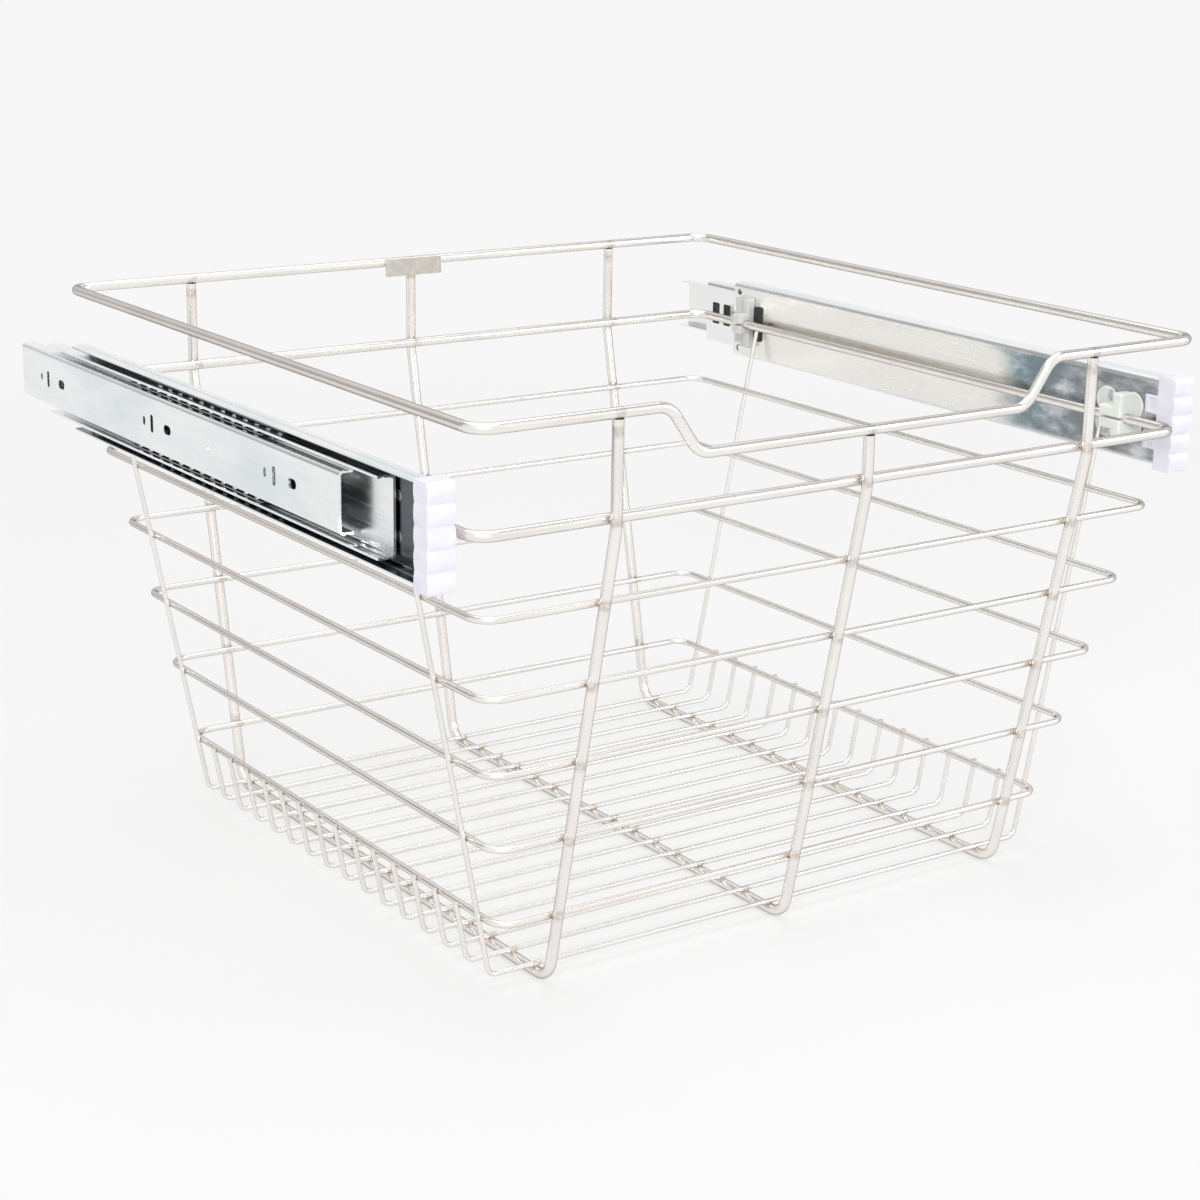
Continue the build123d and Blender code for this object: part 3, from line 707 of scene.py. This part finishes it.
class BASKET_OT_welds(bpy.types.Operator):
    """Adds the weld beads where wires cross"""

    bl_idname = "basket.welds"
    bl_label = "Weld beads"

    depth = 1.9 * MM
    on_floor_wire = 0.72  # size of a bead on the thinner floor wires, as a share of one on a ring

    def execute(self, context):
        settings = context.scene.basket_wires
        finish = plain_metal("weld_bead", (0.55, 0.48, 0.41), (0.36, 0.29, 0.23), 0.34, 0.5, scale=300.0)
        bead = self.bead(settings)
        for hoop in HOOPS:
            self.weld(bead, f"welds_of_{hoop}", self.hoop_places(hoop), finish)
        self.weld(bead, "welds_of_floor_wire_ends", self.wire_end_places(), finish)
        bpy.data.objects.remove(bead)
        return {"FINISHED"}

    def bead(self, settings):
        """One bead, a ball that is drawn out in X and thin in Y."""
        deselect()
        bpy.ops.mesh.primitive_uv_sphere_add(segments=8, ring_count=5, radius=0.5)
        bead = bpy.context.object
        bead.name = "bead"
        bpy.ops.object.mode_set(mode="EDIT")
        bpy.ops.mesh.select_all(action="SELECT")
        bpy.ops.transform.resize(value=(settings.bead_length, self.depth, settings.bead_width))
        bpy.ops.object.mode_set(mode="OBJECT")
        bpy.ops.object.shade_smooth()
        return bead

    def hoop_places(self, hoop):
        """Place, turn and size of each bead along a hoop: on every ring at front and rear, and on the floor wires."""
        x = middle_of(hoop).x
        places = []
        for ring in RINGS:
            low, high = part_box(ring)
            for y in (low.y, high.y):
                places.append(((x, y, (low.z + high.z) / 2), (0, 0, 0), 1.0))
        for wire in FLOOR_WIRES:
            low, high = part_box(wire)
            places.append(((x, (low.y + high.y) / 2, low.z), (math.pi / 2, 0, 0), self.on_floor_wire))
        return places

    def wire_end_places(self):
        """The first and last floor wires run up the sides and meet every ring, the others only the lowest."""
        places = []
        for wire in FLOOR_WIRES:
            y = middle_of(wire).y
            rings = RINGS if wire in LONG_WIRES else RINGS[-1:]
            for ring in rings:
                low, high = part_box(ring)
                for x in (low.x, high.x):
                    places.append(((x, y, (low.z + high.z) / 2), (0, 0, math.pi / 2), self.on_floor_wire))
        return places

    def weld(self, bead, name, places, finish):
        """Joins a copy of the bead at every place into one piece."""
        copies = []
        for place, turn, size in places:
            copy = bead.copy()
            copy.data = bead.data.copy()
            bpy.context.scene.collection.objects.link(copy)
            copy.location = place
            copy.rotation_euler = turn
            copy.scale = (size, size, size)
            copies.append(copy)
        deselect()
        for copy in copies:
            copy.select_set(True)
        bpy.context.view_layer.objects.active = copies[0]
        bpy.ops.object.join()
        joined = bpy.context.object
        settle(joined)
        hand_in(joined, name, finish)


class BASKET_OT_badge(bpy.types.Operator):
    """Makes the bare badge plate on the rear rim, with a rolled edge and a raised rim"""

    bl_idname = "basket.badge"
    bl_label = "Badge plate"

    def execute(self, context):
        settings = context.scene.basket_wires
        low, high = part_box("badge_plate")
        plate = soften(block(low, high), 0.3 * MM)
        rim, depth, rolled_edge = settings.badge_rim, 0.25 * MM, 2.4 * settings.badge_rim
        hollow = block(
            (low.x + rolled_edge, low.y - PAST, low.z + rim), (high.x - rim, low.y + depth, high.z - rim)
        )
        combine(plate, [hollow], "DIFFERENCE")
        roll_radius, short_of_end = 0.74 * MM, 0.1 * MM
        roll = round_bar(
            (low.x + 0.9 * MM, (low.y + high.y) / 2, (low.z + high.z) / 2),
            roll_radius, high.z - low.z - 2 * short_of_end, "Z",
        )
        combine(plate, [roll])
        tidy_mesh(plate, 35)
        finish = plain_metal("badge_nickel", (0.70, 0.665, 0.615), (0.60, 0.565, 0.515), 0.3, 0.42, scale=200.0)
        hand_in(plate, "badge_plate_bare", finish, ["badge_plate"])
        return {"FINISHED"}


class BASKET_OT_slides(bpy.types.Operator):
    """Plates the slide members, cages, balls and rivets"""

    bl_idname = "basket.slides"
    bl_label = "Slides"

    def execute(self, context):
        settings = context.scene.basket_slides
        recolour(pair_of("channel"), zinc_finish("channel_zinc_with_painted_reflection", settings, "channel"))
        recolour(pair_of("middle_member"), zinc_finish("middle_zinc", settings, "middle_member"))
        recolour(pair_of("cabinet_member"), zinc_finish("cabinet_zinc", settings, "cabinet_member"))
        cage = plain_metal("cage_zinc", (0.34, 0.35, 0.36), (0.22, 0.23, 0.24), 0.3, 0.45)
        recolour(pair_of("outer_ball_cage") + pair_of("inner_ball_cage"), cage)
        ball = plain_metal("ball_chrome", (0.72, 0.72, 0.73), (0.66, 0.66, 0.67), 0.06, 0.12)
        recolour(pair_of("outer_balls") + pair_of("inner_balls"), ball)
        rivet = plain_metal("rivet_zinc", (0.66, 0.67, 0.68), (0.54, 0.55, 0.56), 0.28, 0.4)
        recolour(pair_of("clip_rivets"), rivet)
        black = moulded_plastic("black_plastic", settings.stop_black, (0.02, 0.02, 0.022), 0.4, 0.55)
        recolour(pair_of("middle_stop") + pair_of("rear_latch"), black)
        return {"FINISHED"}


class BASKET_OT_end_caps(bpy.types.Operator):
    """Moulds the white ribbed caps on the channels' front ends"""

    bl_idname = "basket.end_caps"
    bl_label = "End caps"

    def execute(self, context):
        settings = context.scene.basket_slides
        low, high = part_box("right_end_cap")
        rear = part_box("right_channel")[0].y - 0.05 * MM
        cap = self.waved_block(settings, low, high, rear)
        combine(cap, [*self.fingers(low, high, rear), *self.plug(rear)])
        round_off(cap, settings.mould_grain, 4)
        white = settings.cap_white
        finish = moulded_plastic("cap_white_plastic", white, darker(white, 0.94), 0.24, 0.34, milk=0.15)
        hand_in_pair(cap, "end_cap", finish)
        return {"FINISHED"}

    def waved_block(self, settings, low, high, rear):
        """The cap itself, common to a core with a waved front and a core with a waved side.

        The cores run past the cap by different amounts, so that no two faces lie in one plane.
        """
        rib = (high.z - low.z) / settings.cap_ribs
        centres = [low.z + rib * (number + 0.5) for number in range(settings.cap_ribs)]
        fronts = [self.wave(rib, settings.front_wave, low.y, z, "X") for z in centres]
        core = block((low.x - 2 * MM, low.y + 2 * MM, low.z - MM), (high.x + 3 * MM, rear + 2 * MM, high.z + MM))
        waved_front = combine(core, fronts)
        sides = [self.wave(rib, settings.side_wave, high.x, z, "Y") for z in centres]
        core = block((low.x - MM, low.y - 4 * MM, low.z - 2 * MM), (high.x - MM, rear + 3 * MM, high.z + 2 * MM))
        waved_side = combine(core, sides)
        cap = block((low.x, low.y - MM, low.z), (high.x + MM, rear, high.z))
        return combine(cap, [waved_front, waved_side], "INTERSECT")

    def wave(self, rib, height, crest, z, axis):
        """A shallow cylinder whose side stands up at the crest. Its neighbours cut it down to one wave."""
        radius = ((rib / 2) ** 2 + height**2) / (2 * height)
        low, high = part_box("right_end_cap")
        if axis == "X":
            return round_bar(((low.x + high.x) / 2, crest + radius, z), radius, 40 * MM, "X", sides=128)
        return round_bar((crest - radius, (low.y + high.y) / 2, z), radius, 50 * MM, "Y", sides=256)

    def fingers(self, low, high, rear):
        """Two fingers that lie along the channel's back, above and below its middle, each with a shallow window."""
        rise, half, lap_in_cap = 9.0 * MM, 4.75 * MM, 2.9 * MM
        window_half, window_depth = 3.2 * MM, 0.75 * MM
        window_front, window_rear = rear + 1.2 * MM, high.y - 2.4 * MM
        fingers = []
        for direction in (1, -1):
            z = SLIDE_Z + direction * rise
            finger = block(
                (low.x + 0.02 * MM, rear - lap_in_cap, z - half), (CHANNEL_BACK - 0.07 * MM, high.y, z + half)
            )
            window = block(
                (low.x - PAST, window_front, z - window_half), (low.x + window_depth, window_rear, z + window_half)
            )
            fingers.append(combine(finger, [window], "DIFFERENCE"))
        return fingers

    def plug(self, rear):
        """The plug that fills the channel's mouth, and the pad in its middle that reaches further in.

        Inner and outer sides are measured outwards from the channel's back.
        """
        plug = {"inner": 1.65 * MM, "outer": 9.9 * MM, "lap_in_cap": 2.0 * MM, "reach": 1.6 * MM, "half": 20.5 * MM}
        pad = {"inner": 1.7 * MM, "outer": 9.8 * MM, "lap_in_cap": 2.1 * MM, "reach": 3.2 * MM, "half": 11 * MM}
        return [
            block(
                (CHANNEL_BACK + size["inner"], rear - size["lap_in_cap"], SLIDE_Z - size["half"]),
                (CHANNEL_BACK + size["outer"], rear + size["reach"], SLIDE_Z + size["half"]),
            )
            for size in (plug, pad)
        ]


class BASKET_OT_front_clips(bpy.types.Operator):
    """Moulds the milky butterfly clips that hold the wire near the front"""

    bl_idname = "basket.front_clips"
    bl_label = "Front clips"

    def execute(self, context):
        settings = context.scene.basket_slides
        low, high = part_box("right_front_clip")
        y = (low.y + high.y) / 2
        wing = high.x - settings.wing_thickness
        clip = self.butterfly(settings, low, high, y, wing)
        combine(clip, [self.saddle(settings, low, high, y, wing)])
        rivet_y, rivet_rise = y + 5.5 * MM, 8.9 * MM
        seats = bars_above_and_below(wing - 3 * MM, rivet_y, rivet_rise, 2.75 * MM, 6 * MM, 32)
        bores = bars_above_and_below((wing + high.x) / 2, rivet_y, rivet_rise, RIVET_BORE_RADIUS, 6 * MM, 24)
        combine(clip, seats + bores, "DIFFERENCE")
        round_off(clip, settings.mould_grain, 2)
        milk = settings.clip_milk
        finish = moulded_plastic("clip_milky_plastic", milk, darker(milk, 0.93), 0.3, 0.42, milk=0.5)
        hand_in_pair(clip, "front_clip", finish)
        return {"FINISHED"}

    def butterfly(self, settings, low, high, y, wing):
        """The flat wing with its four round lobes, each dished on the wire's side."""
        z, lobe = SLIDE_Z, settings.lobe_radius
        reach = (high.y - low.y) / 2 - lobe
        rise = (high.z - low.z) / 2 - lobe
        centres = [(y + side * reach, z + height * rise) for side in (-1, 1) for height in (-1, 1)]
        plate = block((wing, y - reach, z - rise), (high.x, y + reach, z + rise))
        middle = (wing + high.x) / 2
        combine(plate, [round_bar((middle, *centre), lobe, high.x - wing, "X", sides=64) for centre in centres])
        dish_rim, dish_depth = 1.5 * MM, 0.4 * MM
        dishes = [round_bar((wing, *centre), lobe - dish_rim, 2 * dish_depth, "X", sides=48) for centre in centres]
        return combine(plate, dishes, "DIFFERENCE")

    def saddle(self, settings, low, high, y, wing):
        """The saddle round the wire, with a post above and below it and a shoulder on the wing."""
        z = SLIDE_Z
        front = y - settings.saddle_lead
        inside = wing + 0.3 * MM  # each block ends inside the wing, not on its face
        saddle = block((low.x, front, z - 6 * MM), (inside, front + 15 * MM, z + 6 * MM))
        post = block((low.x + 0.5 * MM, front, low.z + 0.1 * MM), (inside, front + 6.5 * MM, high.z - 0.1 * MM))
        shoulder = block(
            (wing - 3.4 * MM, front + 2 * MM, low.z + 2.2 * MM), (inside, front + 10.5 * MM, high.z - 2.2 * MM)
        )
        combine(soften(saddle, 1.5 * MM, 4), [soften(post, 1.2 * MM, 4), soften(shoulder, 0.9 * MM)])
        cut_for_wire(saddle, low.x, y, z)
        return saddle


class BASKET_OT_rear_clips(bpy.types.Operator):
    """Moulds the pale grey clips that hold the wire near the rear"""

    bl_idname = "basket.rear_clips"
    bl_label = "Rear clips"

    def execute(self, context):
        settings = context.scene.basket_slides
        low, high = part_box("right_rear_clip")
        y = (low.y + high.y) / 2
        wing = high.x - settings.wing_thickness
        clip = self.fork(low, high, y, wing)
        combine(clip, [self.saddle(low, high, y, wing)])
        rivet_rise = 10.5 * MM
        seats = bars_above_and_below(wing - 4 * MM, y, rivet_rise, 2.9 * MM, 8 * MM, 32)
        bores = bars_above_and_below(high.x, y, rivet_rise, RIVET_BORE_RADIUS, 6 * MM, 24)
        combine(clip, seats + bores, "DIFFERENCE")
        round_off(clip, settings.mould_grain, 2)
        grey = settings.clip_grey
        finish = moulded_plastic("clip_grey_plastic", grey, darker(grey, 0.92), 0.36, 0.5, milk=0.2)
        hand_in_pair(clip, "rear_clip", finish)
        return {"FINISHED"}

    def fork(self, low, high, y, wing):
        """The flat plate, with one arm towards the rear above the wire and one below it."""
        z, edge = SLIDE_Z, 0.45 * MM
        plate = soften(block((wing, low.y, low.z), (high.x, y + 3.5 * MM, high.z)), edge)
        root, inset = y - 1 * MM, 1.8 * MM
        arms = [
            soften(block((wing, root, z + 4 * MM), (high.x, high.y, high.z - inset)), edge),
            soften(block((wing, root, low.z + inset), (high.x, high.y, z - 5 * MM)), edge),
        ]
        return combine(plate, arms)

    def saddle(self, low, high, y, wing):
        """The saddle round the wire, on a spine that runs the height of the plate."""
        z, inside = SLIDE_Z, wing + 0.3 * MM
        saddle = soften(block((low.x, low.y, z - 6 * MM), (inside, low.y + 8 * MM, z + 6 * MM)), 1.3 * MM, 4)
        spine = block(
            (SLIDE_WIRE_X + 1.5 * MM, low.y + 0.4 * MM, low.z + 1.2 * MM),
            (inside, low.y + 5.6 * MM, high.z - 1.2 * MM),
        )
        combine(saddle, [soften(spine, 0.8 * MM)])
        cut_for_wire(saddle, low.x, y, z)
        return saddle


class BASKET_PT_pieces(bpy.types.Panel):
    """Lists the pieces of the basket"""

    bl_idname = "BASKET_PT_pieces"
    bl_label = "Pull out basket"
    bl_space_type = "VIEW_3D"
    bl_region_type = "UI"
    bl_category = "Basket"

    def draw(self, context):
        for operator in OPERATORS:
            self.layout.operator(operator.bl_idname)
        for name in ("basket_stage", "basket_wires", "basket_slides"):
            settings = getattr(context.scene, name)
            box = self.layout.box()
            for key in settings.__annotations__:
                box.prop(settings, key)


OPERATORS = (
    BASKET_OT_stage, BASKET_OT_wires, BASKET_OT_welds, BASKET_OT_badge, BASKET_OT_slides,
    BASKET_OT_end_caps, BASKET_OT_front_clips, BASKET_OT_rear_clips,
)
CLASSES = (BasketStageSettings, BasketWireSettings, BasketSlideSettings, *OPERATORS, BASKET_PT_pieces)


def register():
    for each in CLASSES:
        bpy.utils.register_class(each)
    bpy.types.Scene.basket_stage = bpy.props.PointerProperty(type=BasketStageSettings)
    bpy.types.Scene.basket_wires = bpy.props.PointerProperty(type=BasketWireSettings)
    bpy.types.Scene.basket_slides = bpy.props.PointerProperty(type=BasketSlideSettings)


def unregister():
    del bpy.types.Scene.basket_slides
    del bpy.types.Scene.basket_wires
    del bpy.types.Scene.basket_stage
    for each in reversed(CLASSES):
        bpy.utils.unregister_class(each)


def main():
    register()
    bpy.ops.basket.stage()
    bpy.ops.basket.wires()
    bpy.ops.basket.welds()
    bpy.ops.basket.badge()
    bpy.ops.basket.slides()
    bpy.ops.basket.end_caps()
    bpy.ops.basket.front_clips()
    bpy.ops.basket.rear_clips()


if __name__ == "__main__":
    main()
